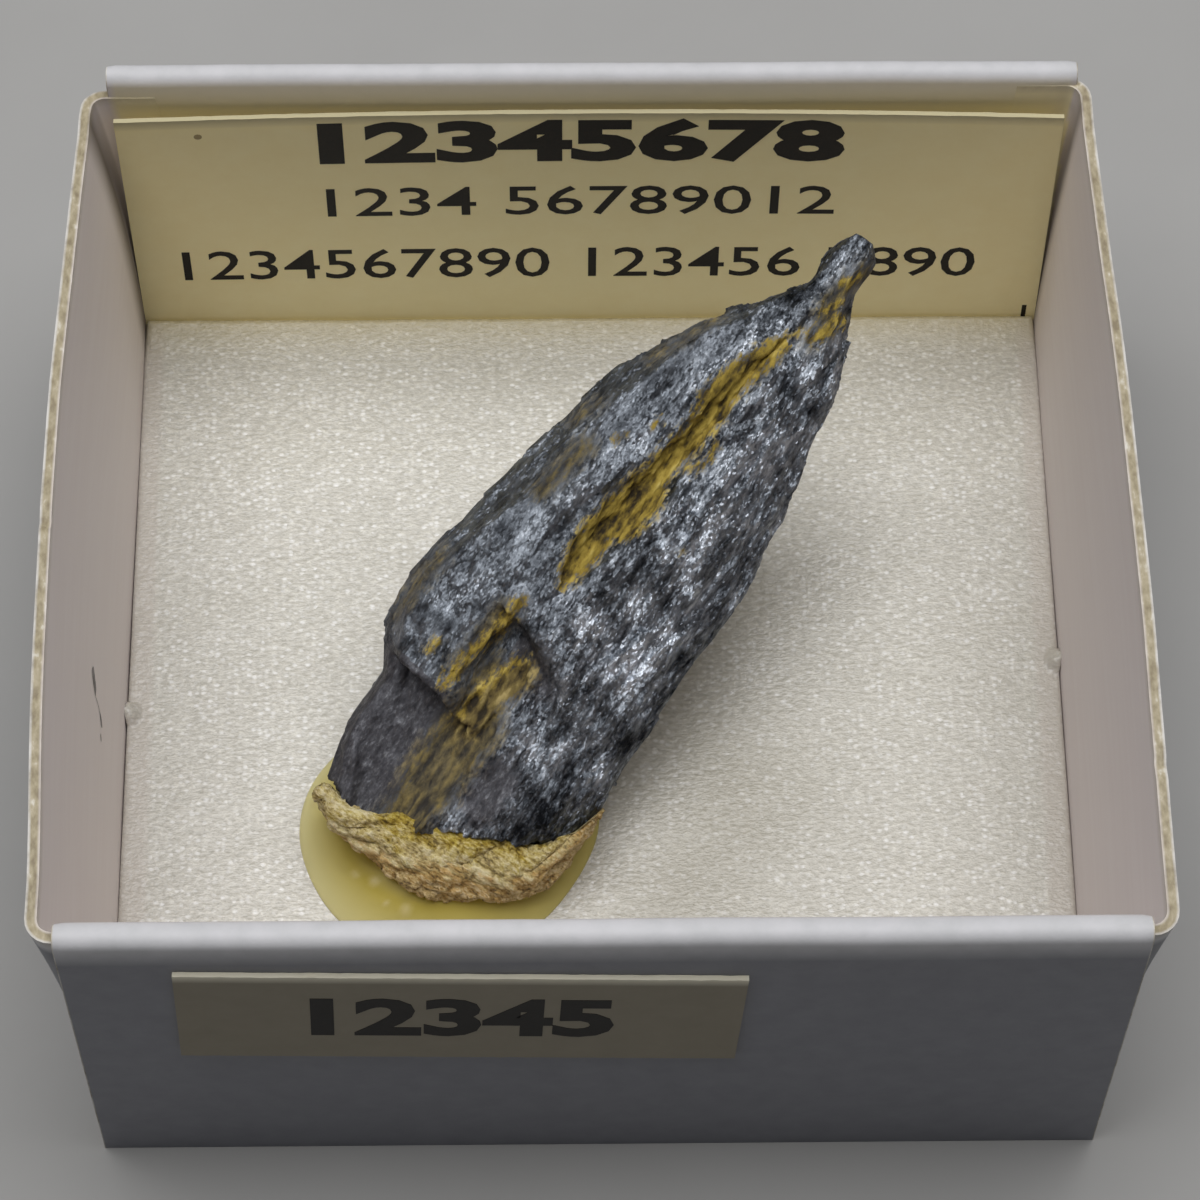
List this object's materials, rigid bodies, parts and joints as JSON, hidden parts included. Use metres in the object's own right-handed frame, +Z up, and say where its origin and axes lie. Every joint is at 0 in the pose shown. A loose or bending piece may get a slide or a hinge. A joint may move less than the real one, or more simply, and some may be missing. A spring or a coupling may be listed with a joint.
{
  "type": "boxed stibnite mineral specimen",
  "caption": "Pointed bladed lump of dark metallic stibnite on pale matrix, glued to the foam of a small open folded card tray with plain labels.",
  "frame": {"origin": "middle of the bottom of the whole object's bounding box, on the flat underside of the tray", "axes": "+X to the right along the labelled front wall, +Y from the front wall to the back wall, +Z up"},
  "size_m": [0.0424, 0.0398, 0.0203],
  "materials": {
    "white_card": "white clay-coated card, soft satin, grey-tan core at the cut edges",
    "foam": "pearly expanded polyethylene foam with fine cells",
    "cream_card": "matt cream index card with plain printed figures",
    "cream_paper": "matt cream label paper with a plain printed number",
    "hot_melt_glue": "cloudy yellow hot-melt glue, smooth",
    "matrix_rock": "cream crumbly rock, ochre and orange in places",
    "stibnite": "lead-grey metallic sulphide with fine glittering cleavage faces and ochre stains"
  },
  "bodies": {
    "root": {"tray": "white_card", "foam_pad": "foam", "locality_label": "cream_card", "number_label": "cream_paper", "glue_dab": "hot_melt_glue", "matrix": "matrix_rock", "stibnite": "stibnite"}
  },
  "joints": []
}
